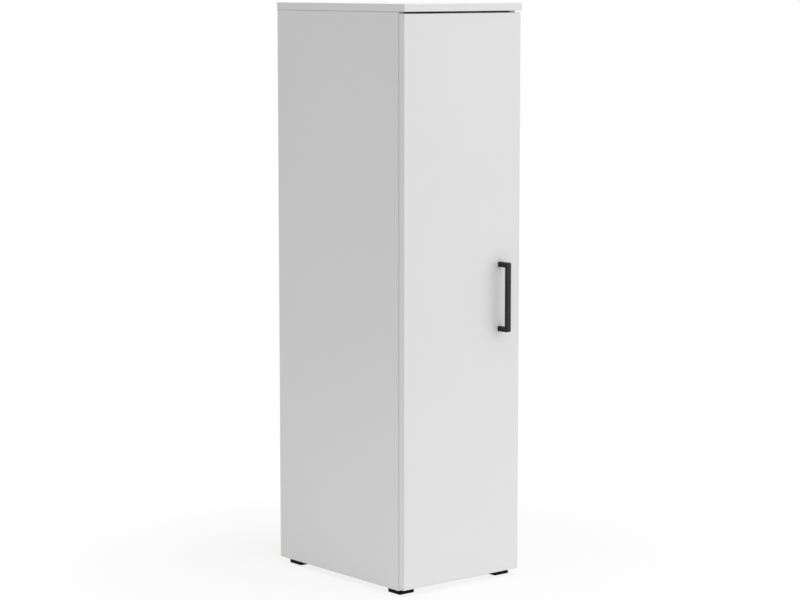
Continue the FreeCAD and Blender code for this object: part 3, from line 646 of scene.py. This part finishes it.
def turned_set(name: str, points: np.ndarray, turns: int, material: Material) -> bpy.types.Object:
    """Make one piece of several turned shapes.

    Args:
        name: Name of the piece.
        points: Rings of every shape, shape (shapes, rings * turns, 3), in the frame.
        turns: Points in each ring.
        material: Finish of the piece.

    Returns:
        The new object, linked to the scene.
    """
    count, each, _ = points.shape
    quads = grid_quads(each // turns, turns)
    faces = quads[None] + np.arange(count)[:, None, None] * each
    return new_piece(name, points.reshape(-1, 3), faces.reshape(-1, 4).tolist(), material)


def coat(node: str, material: Material) -> None:
    """Give a CAD node its finish."""
    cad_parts[node].material_slots[0].material = material
    LOG.info("dressed %s with %s", node, material.name)


def seat(piece: bpy.types.Object, body: Body, node: str) -> None:
    """Let a new piece ride on a body in place of a CAD node.

    Args:
        piece: The new piece.
        body: The body that it moves with.
        node: CAD node that the piece stands for.
    """
    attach(piece, body.value)
    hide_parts(node)
    LOG.info("built %s on %s", piece.name, body.value)


# Small hardware


@dataclass(frozen=True)
class CrossScrew:
    """A pan-head screw with a cross recess, worked out from its head, shank and recess sizes."""

    head_diameter: float
    head_height: float
    shank_diameter: float
    crown_share: float = 0.4
    recess_length_share: float = 0.56
    recess_width_share: float = 0.13
    recess_depth_share: float = 0.62
    soft_share: float = 0.05
    point_share: float = 0.9
    turn_step: float = math.radians(37)
    turns: int = 64
    dome_rings: int = 26

    def recess(self, across: np.ndarray, up: np.ndarray) -> np.ndarray:
        """Depth of the cross: the larger of two crossed slots, each with smooth ends and sides.

        Args:
            across: First coordinate in the head's plane.
            up: Second coordinate in the head's plane.

        Returns:
            Depth below the dome at each point.
        """
        length = self.recess_length_share * self.head_diameter / 2
        width = self.recess_width_share * self.head_diameter / 2
        soft = self.soft_share * self.head_diameter

        def within(value: np.ndarray, limit: float) -> np.ndarray:
            """Smooth step that is 1 inside a limit and 0 outside it."""
            part = np.clip((limit + soft / 2 - np.abs(value)) / soft, 0, 1)
            return part * part * (3 - 2 * part)

        slots = (within(across, length) * within(up, width), within(up, length) * within(across, width))
        return self.recess_depth_share * self.head_height * np.maximum(*slots)

    def surface(self, turn: float, grip: float) -> np.ndarray:
        """Rings of the screw about its own axis, head outwards, seat at zero.

        The dome is z = head (1 - crown r^4) less the recess. The rim, seat, shank and point follow as rings.

        Args:
            turn: Angle of the recess in radians.
            grip: Length from the seat to the point.

        Returns:
            Points of shape (rings, turns, 3).
        """
        radius = self.head_diameter / 2
        shank = self.shank_diameter / 2
        taper = self.point_share * self.shank_diameter
        angle = np.linspace(0, 2 * math.pi, self.turns, endpoint=False)
        share = np.linspace(0, 1, self.dome_rings)
        rings = np.concatenate([share * radius, [radius, shank, shank, 0.0]])
        across = np.outer(rings, np.cos(angle))
        up = np.outer(rings, np.sin(angle))
        dome = self.head_height * (1 - self.crown_share * share ** 4)
        body = np.array([0.0, 0.0, taper - grip, -grip])
        height = np.repeat(np.concatenate([dome, body])[:, None], self.turns, axis=1)
        height[:self.dome_rings] -= self.recess(across[:self.dome_rings], up[:self.dome_rings])
        turned = across * math.cos(turn) - up * math.sin(turn), across * math.sin(turn) + up * math.cos(turn)
        return np.stack([*turned, height], axis=-1)

    def set_of(
        self, name: str, seats: np.ndarray, grip: float, facing: Face, material: Material,
    ) -> bpy.types.Object:
        """One piece with a screw at each seat, each with its recess at another angle.

        Args:
            name: Name of the piece.
            seats: Points under the heads, in the frame.
            grip: Length from the seat to the point.
            facing: Way that the heads look.
            material: Finish of the screws.

        Returns:
            The new piece.
        """
        axis, sign = facing.value
        out = np.zeros(3)
        out[axis] = sign
        side = np.roll(np.abs(out), 1)
        basis = np.stack([side, np.cross(out, side), out])
        shapes = [self.surface(index * self.turn_step, grip) for index in range(len(seats))]
        points = np.stack(shapes).reshape(len(seats), -1, 3) @ basis + seats[:, None, :]
        return turned_set(name, points, self.turns, material)


@dataclass(frozen=True)
class ScrewSet:
    """Like screws on one face, placed from the box of the CAD node that they stand for."""

    node: str
    piece: str
    facing: Face
    body: Body
    screw: CrossScrew

    def ends(self) -> tuple[np.ndarray, np.ndarray, float]:
        """First and last seat of the set: the box of its CAD node less half a head all round.

        Returns:
            Two points under heads, and the screws' length from there to their points.
        """
        low, high = (np.array(corner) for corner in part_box(self.node))
        axis, sign = self.facing.value
        head = self.screw.head_height
        half = self.screw.head_diameter / 2
        points = np.stack([low + half, high - half])
        points[:, axis] = high[axis] - head if sign > 0 else low[axis] + head
        return points[0], points[1], high[axis] - low[axis] - head

    def build(self, seats: np.ndarray, grip: float, material: Material) -> None:
        """Build a screw at each seat and let the set ride.

        Args:
            seats: Points under the heads, in the frame.
            grip: Length from the seat to the point.
            material: Finish of the screws.
        """
        piece = self.screw.set_of(self.piece, seats, grip, self.facing, material)
        seat(piece, self.body, self.node)


@dataclass
class Screws:
    """Every screw of the cupboard that shows."""

    back: ScrewSet = ScrewSet(
        "back_screws", "back_panel_screws", Face.BACK, Body.CARCASS, CrossScrew(6 * MM, 1.6 * MM, 3 * MM),
    )
    foot: ScrewSet = ScrewSet(
        "foot_screws", "glide_screws", Face.UNDER, Body.CARCASS, CrossScrew(8 * MM, 2.5 * MM, 4 * MM),
    )
    plate: ScrewSet = ScrewSet(
        "plate_screws", "hinge_plate_screws", Face.RIGHT, Body.CARCASS, CrossScrew(8 * MM, 2.2 * MM, 5 * MM),
    )
    arm: ScrewSet = ScrewSet(
        "arm_screws", "hinge_arm_screws", Face.RIGHT, Body.CARCASS, CrossScrew(7 * MM, 2.2 * MM, 4 * MM),
    )
    cup: ScrewSet = ScrewSet(
        "cup_screws", "hinge_cup_screws", Face.BACK, Body.DOOR, CrossScrew(6.5 * MM, 1.8 * MM, 3.5 * MM),
    )
    handle: ScrewSet = ScrewSet(
        "handle_screws", "handle_fixing_screws", Face.BACK, Body.DOOR, CrossScrew(8 * MM, 2.5 * MM, 4 * MM),
    )
    plate_spread: float = 16 * MM
    cup_spread: float = 22.5 * MM

    def hinge_heights(self) -> np.ndarray:
        """Heights of the hinges' middles, from their plates."""
        boxes = [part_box("hinge_plate_" + name) for name in HINGE_NAMES]
        return np.array([(low.z + high.z) / 2 for low, high in boxes])

    def build(self, material: Material) -> None:
        """Set out the seats of every set from its ends or its hinges, and build it there.

        Args:
            material: Finish of the screws.
        """
        heights = self.hinge_heights()
        plate_rows = np.concatenate([heights - self.plate_spread, heights + self.plate_spread])
        cup_rows = np.concatenate([heights - self.cup_spread, heights + self.cup_spread])

        first, last, grip = self.back.ends()
        seats = lattice([first[0], (first[0] + last[0]) / 2, last[0]], [first[1]], [first[2]])
        self.back.build(seats, grip, material)

        first, last, grip = self.foot.ends()
        seats = lattice([first[0], last[0]], [first[1], last[1]], [first[2]])
        self.foot.build(seats, grip, material)

        first, _, grip = self.plate.ends()
        self.plate.build(lattice([first[0]], [first[1]], plate_rows), grip, material)

        first, last, grip = self.arm.ends()
        self.arm.build(lattice([first[0]], [first[1], last[1]], heights), grip, material)

        first, _, grip = self.cup.ends()
        self.cup.build(lattice([first[0]], [first[1]], cup_rows), grip, material)

        first, last, grip = self.handle.ends()
        self.handle.build(lattice([first[0]], [first[1]], [first[2], last[2]]), grip, material)


@dataclass
class BarHandle:
    """The door's bar handle: a flat bar on two legs, with rounded corners and softly broken edges."""

    bar: float = 7 * MM
    leg: float = 10 * MM
    outer_radius: float = 3 * MM
    inner_radius: float = 1.5 * MM
    edge_radius: float = 1.1 * MM
    flat_hold: float = 0.4 * MM
    arc_steps: int = 9
    edge_steps: int = 6
    straight_shares: tuple[float, ...] = (0.0, 0.02, 0.35, 0.65, 0.98)

    def bend(self, reach: float, start: float, end: float, radius: float) -> np.ndarray:
        """Line of one side of the bar: out from the door, up and back, with a quarter arc at each corner.

        Args:
            reach: Distance from the door to the line's outer run.
            start: Height of the lower leg's line.
            end: Height of the upper leg's line.
            radius: Radius of the two arcs.

        Returns:
            Points of shape (n, 2): distance from the door and height.
        """
        angle = np.linspace(0, math.pi / 2, self.arc_steps)
        share = np.array(self.straight_shares)
        out = np.stack([share * (reach - radius), np.full_like(share, start)], axis=1)
        turn = np.stack([np.sin(angle) - 1, 1 - np.cos(angle)], axis=1) * radius + (reach, start)
        climb = start + radius + share * (end - start - 2 * radius)
        rise = np.stack([np.full_like(share, reach), climb], axis=1)
        mirrored = np.concatenate([out, turn])[::-1] * (1, -1) + (0, start + end)
        return np.concatenate([out, turn, rise[1:], mirrored])

    def section(self, width: float) -> tuple[np.ndarray, np.ndarray, np.ndarray]:
        """Rounded rectangle across the bar, for a thickness that is filled in along the path.

        Each corner is a quarter arc with one more point on the flat before it and after it, which keeps the
        flats flat under smooth shading.

        Args:
            width: Size across the bar.

        Returns:
            Three arrays around the section: place across, share of the thickness, and offset from there.
        """
        angle = np.linspace(0, math.pi / 2, self.edge_steps)
        edge = self.edge_radius
        right = width / 2 - edge
        along = np.concatenate([[-self.flat_hold], edge * np.sin(angle), [edge]])
        inward = np.concatenate([[0.0], edge - edge * np.cos(angle), [edge + self.flat_hold]])
        across = np.concatenate([right + along, right + along[::-1], -right - along, -right - along[::-1]])
        offset = np.concatenate([inward, -inward[::-1], -inward, inward[::-1]])
        share = np.repeat([0.0, 1.0, 1.0, 0.0], len(along))
        return across, share, offset

    def build(self, material: Material) -> None:
        """Carry the section along the bent path and close both ends on the door.

        The surface is S(s, t) = O(s) + (I(s) - O(s)) v(s, t) / T(s) + X u(t), with O and I the outer and
        inner lines, T the distance between them, and u and v the section's two coordinates.

        Args:
            material: Finish of the handle.
        """
        low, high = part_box("handle")
        reach = high.y - low.y
        length = high.z - low.z
        outer = self.bend(reach, 0.0, length, self.outer_radius)
        inner = self.bend(reach - self.bar, self.leg, length - self.leg, self.inner_radius)
        thickness = np.linalg.norm(inner - outer, axis=1)
        across, share, offset = self.section(high.x - low.x)
        depth = share[None, :] + offset[None, :] / thickness[:, None]
        line = outer[:, None, :] + (inner - outer)[:, None, :] * depth[:, :, None]
        middle = (low.x + high.x) / 2
        places = (np.broadcast_to(middle + across, depth.shape), high.y - line[..., 0], low.z + line[..., 1])
        points = np.stack(places, axis=-1).reshape(-1, 3)
        rows, columns = depth.shape
        caps = [list(range(columns)), list(range((rows - 1) * columns, rows * columns))]
        piece = new_piece("bar_handle", points, grid_quads(rows, columns).tolist() + caps, material)
        seat(piece, Body.DOOR, "handle")


@dataclass
class Bumpers:
    """Two soft domed buttons that cushion the free edge of the door."""

    turns: int = 40
    rings: int = 12
    rim_share: float = 0.35

    def build(self, material: Material) -> None:
        """Turn each dome: z = t (rim + (1 - rim) sqrt(1 - r^2)), closed by a flat base on the door.

        Args:
            material: Finish of the buttons.
        """
        low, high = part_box("door_bumpers")
        radius = (high.x - low.x) / 2
        thick = high.y - low.y
        dome = np.sin(np.linspace(0, math.pi / 2, self.rings))
        crown = thick * (self.rim_share + (1 - self.rim_share) * np.sqrt(1 - dome ** 2))
        share = np.concatenate([dome, [1.0, 0.0]])
        height = np.concatenate([crown, [0.0, 0.0]])
        angle = np.linspace(0, 2 * math.pi, self.turns, endpoint=False)
        across = np.outer(share, np.cos(angle)) * radius
        up = np.outer(share, np.sin(angle)) * radius
        rise = np.repeat(height[:, None], self.turns, axis=1)
        button = np.stack([across, rise, up], axis=-1)
        seats = lattice([low.x + radius], [low.y], [low.z + radius, high.z - radius])
        points = button.reshape(1, -1, 3) + seats[:, None, :]
        piece = turned_set("soft_bumpers", points, self.turns, material)
        seat(piece, Body.DOOR, "door_bumpers")


# Sub-assemblies


@dataclass
class Carcass:
    """Boards, back, shelves, feet and fittings."""

    sides: tuple[str, ...] = ("side_left", "side_right")
    inner_boards: tuple[str, ...] = ("shelf_lower", "shelf_upper", "bottom_panel")
    feet: tuple[str, ...] = ("foot_front_left", "foot_front_right", "foot_back_left", "foot_back_right")
    pins: tuple[str, ...] = ("shelf_pins_lower", "shelf_pins_upper")

    def boards(self) -> list[Melamine]:
        """Set out the boards with their banded and raw edges, and the edges that get painted shade at a butt
        joint.

        Returns:
            The finish of each board.
        """
        front = (Face.FRONT,)
        sawn = (Face.BACK, Face.UNDER, Face.TOP)
        hidden = (Face.BACK, Face.LEFT, Face.RIGHT)
        around = (Face.FRONT, Face.LEFT, Face.RIGHT)
        made = [Melamine("melamine_top_panel", node="top_panel", banded=around, raw=(Face.BACK,))]
        for node in self.sides:
            made.append(Melamine("melamine_" + node, node=node, banded=front, raw=sawn, shaded_joints=(Face.TOP,)))
        for node in self.inner_boards:
            made.append(Melamine("melamine_" + node, node=node, banded=front, raw=hidden))
        return made

    def dress(self, bright: Material, bolt: Material) -> None:
        """Give every carcass node its finish.

        Args:
            bright: Finish of the shelf pins.
            bolt: Finish of the cam bolts.
        """
        for board in self.boards():
            coat(board.node, board.make())
        coat("back_panel", Hardboard("hardboard").make())
        plastic = MOULDED_PLASTIC.make()
        for node in self.feet:
            coat(node, plastic)
        for node in self.pins:
            coat(node, bright)
        coat("cam_locks", CAST_ZINC.make())
        coat("cam_bolts", bolt)
        coat("dowels", BEECH.make())


@dataclass
class Hinges:
    """The three cup hinges: plates, arms, links, cups and pivot pins."""

    pieces: tuple[str, ...] = ("hinge_plate_", "hinge_arm_", "hinge_link_", "hinge_cup_")
    pins: tuple[str, ...] = ("arm_pivots", "cup_pivots")

    def dress(self, bright: Material, pin: Material) -> None:
        """Give the hinges and their pins their finishes.

        Args:
            bright: Finish of the pressed hinge pieces.
            pin: Finish of the pivot pins.
        """
        for name in HINGE_NAMES:
            for piece in self.pieces:
                coat(piece + name, bright)
        for node in self.pins:
            coat(node, pin)


@dataclass
class Door:
    """The door board with its handle and bumpers."""

    handle: BarHandle = field(default_factory=BarHandle)
    bumpers: Bumpers = field(default_factory=Bumpers)

    def build(self) -> None:
        """Dress the board, and build what is fixed to it."""
        edges = (Face.LEFT, Face.RIGHT, Face.UNDER, Face.TOP)
        coat("door_panel", Melamine("melamine_door_panel", node="door_panel", banded=edges).make())
        self.handle.build(POWDER_COAT.make())
        self.bumpers.build(SILICONE.make())


# Studio


@dataclass(frozen=True)
class Softbox:
    """A square area lamp that looks at a point of the cupboard."""

    name: str
    place: tuple[float, float, float]
    aim: tuple[float, float, float]
    size: float
    power: float

    def build(self) -> None:
        """Put the lamp into the scene."""
        data = bpy.data.lights.new(self.name, "AREA")
        data.shape = "SQUARE"
        data.size = self.size
        data.energy = self.power
        lamp = bpy.data.objects.new(self.name, data)
        lamp.location = self.place
        lamp.rotation_euler = (Vector(self.aim) - Vector(self.place)).to_track_quat("-Z", "Y").to_euler()
        bpy.context.scene.collection.objects.link(lamp)


@dataclass
class Studio:
    """Pale floor, white surroundings, soft lamps and the camera of the photograph."""

    floor_half: float = 40.0
    floor_steps: int = 8
    floor_hex: str = "#EFEFEF"
    white_hex: str = "#FFFFFF"
    floor_glow_share: float = 0.78
    shadow_reach: tuple[float, float] = (0.25, 0.85)
    pool_centre: tuple[float, float, float] = (-0.3, -0.7, 0.0)
    pool_reach: tuple[float, float] = (0.5, 1.7)
    pool_glow: float = 0.18
    ambient: float = 0.52
    eye: tuple[float, float, float] = (-3.146, -3.801, 1.197)
    heading_deg: float = 39.565
    pitch_deg: float = -7.45
    lens_mm: float = 111.5
    lamps: tuple[Softbox, ...] = (
        Softbox("key_softbox", place=(2.4, -3.2, 1.8), aim=(0.0, -0.2, 0.5), size=4.5, power=46.0),
        Softbox("top_softbox", place=(0.2, -0.4, 3.6), aim=(0.0, 0.0, 0.6), size=3.0, power=41.0),
    )

    def seen(self, tree: Tree) -> Socket:
        """Mask of the rays that see the surroundings: from the camera, or by way of gloss or glass.

        Args:
            tree: Node tree of the floor or the world.

        Returns:
            A socket that is 1 for those rays and 0 for light that falls on a matt surface.
        """
        path = add(tree, "LightPath", {})
        bent = add(
            tree, "Math", {0: path["Is Glossy Ray"], 1: path["Is Transmission Ray"]}, operation="MAXIMUM"
        )[0]
        return add(tree, "Math", {0: path["Is Camera Ray"], 1: bent}, operation="MAXIMUM")[0]

    def surroundings(self) -> None:
        """Make the world white to look at, and plain soft light to stand in."""
        world = bpy.data.worlds.new("white_surroundings")
        world.use_nodes = True
        tree = world.node_tree
        tree.nodes.clear()
        soft = add(tree, "Background", {"Color": linear(self.white_hex), "Strength": self.ambient})[0]
        white = add(tree, "Background", {"Color": linear(self.white_hex), "Strength": WHITE_STRENGTH})[0]
        mixed = add(tree, "MixShader", {0: self.seen(tree), 1: soft, 2: white})[0]
        add(tree, "OutputWorld", {"Surface": mixed})
        bpy.context.scene.world = world

    def paper(self) -> Material:
        """Floor finish: matt white paper, which glows a little to the eye, and fully away from the cupboard.

        A painted pool of light: the floor glows in front of the cupboard, though it is no lamp, and lights
        its faces from below.

        Returns:
            The new material.
        """
        material = bpy.data.materials.new("white_paper")
        material.use_nodes = True
        tree = material.node_tree
        tree.nodes.clear()
        matt = add(tree, "BsdfDiffuse", {"Color": linear(self.floor_hex)})[0]
        glow = add(tree, "Emission", {"Color": linear(self.white_hex), "Strength": WHITE_STRENGTH})[0]
        point = add(tree, "TexCoord", {})["Object"]
        away = add(tree, "VectorMath", {0: point}, operation="LENGTH")["Value"]
        near, far = self.shadow_reach
        spread = add(
            tree, "MapRange",
            {0: away, "From Min": near, "From Max": far, "To Min": self.floor_glow_share},
            interpolation_type="SMOOTHSTEP",
        )[0]
        share = add(tree, "Math", {0: self.seen(tree), 1: spread}, operation="MULTIPLY")[0]
        # Painted light: the floor glows in a pool in front of the cupboard, seen by the eye and lighting the
        # cupboard from below
        beside = add(tree, "VectorMath", {0: point, 1: self.pool_centre}, operation="DISTANCE")["Value"]
        full, none = self.pool_reach
        pool = add(
            tree, "MapRange",
            {0: beside, "From Min": full, "From Max": none, "To Min": self.pool_glow, "To Max": 0.0},
            interpolation_type="SMOOTHSTEP",
        )[0]
        painted_pool_glow = add(tree, "Emission", {"Color": linear(self.white_hex), "Strength": pool})[0]
        lit = add(tree, "AddShader", {0: matt, 1: painted_pool_glow})[0]
        sheet = add(tree, "MixShader", {0: share, 1: lit, 2: glow})[0]
        add(tree, "OutputMaterial", {"Surface": sheet})
        return material

    def floor(self) -> None:
        """Lay a flat square grid under the cupboard: (x, y) on even steps, z = 0."""
        count = self.floor_steps
        line = np.linspace(-self.floor_half, self.floor_half, count)
        points = lattice(line, line, [0.0])
        start = (np.arange(count - 1)[:, None] * count + np.arange(count - 1)).reshape(-1, 1)
        faces = start + np.array([0, count, count + 1, 1])
        mesh = bpy.data.meshes.new("floor")
        mesh.from_pydata(points.tolist(), [], faces.tolist())
        mesh.materials.append(self.paper())
        ground = bpy.data.objects.new("floor", mesh)
        bpy.context.scene.collection.objects.link(ground)

    def camera(self) -> None:
        """Set up the camera at the photograph's viewing angle."""
        data = bpy.data.cameras.new("photo_camera")
        data.lens = self.lens_mm
        camera = bpy.data.objects.new("photo_camera", data)
        camera.location = self.eye
        camera.rotation_euler = (math.radians(90 + self.pitch_deg), 0.0, -math.radians(self.heading_deg))
        bpy.context.scene.collection.objects.link(camera)
        bpy.context.scene.camera = camera

    def build(self) -> None:
        """Build the whole studio."""
        bpy.context.scene.view_settings.view_transform = "Standard"
        self.surroundings()
        self.floor()
        for lamp in self.lamps:
            lamp.build()
        self.camera()


def main() -> None:
    """Dress the frame, build the small pieces and set up the studio."""
    logging.basicConfig(level=logging.INFO, format="%(name)s: %(message)s")
    nickel = NICKEL_PLATE.make()
    zinc = ZINC_PLATE.make()
    Carcass().dress(nickel, zinc)
    Hinges().dress(nickel, zinc)
    Screws().build(zinc)
    Door().build()
    Studio().build()


if __name__ == "__main__":
    main()
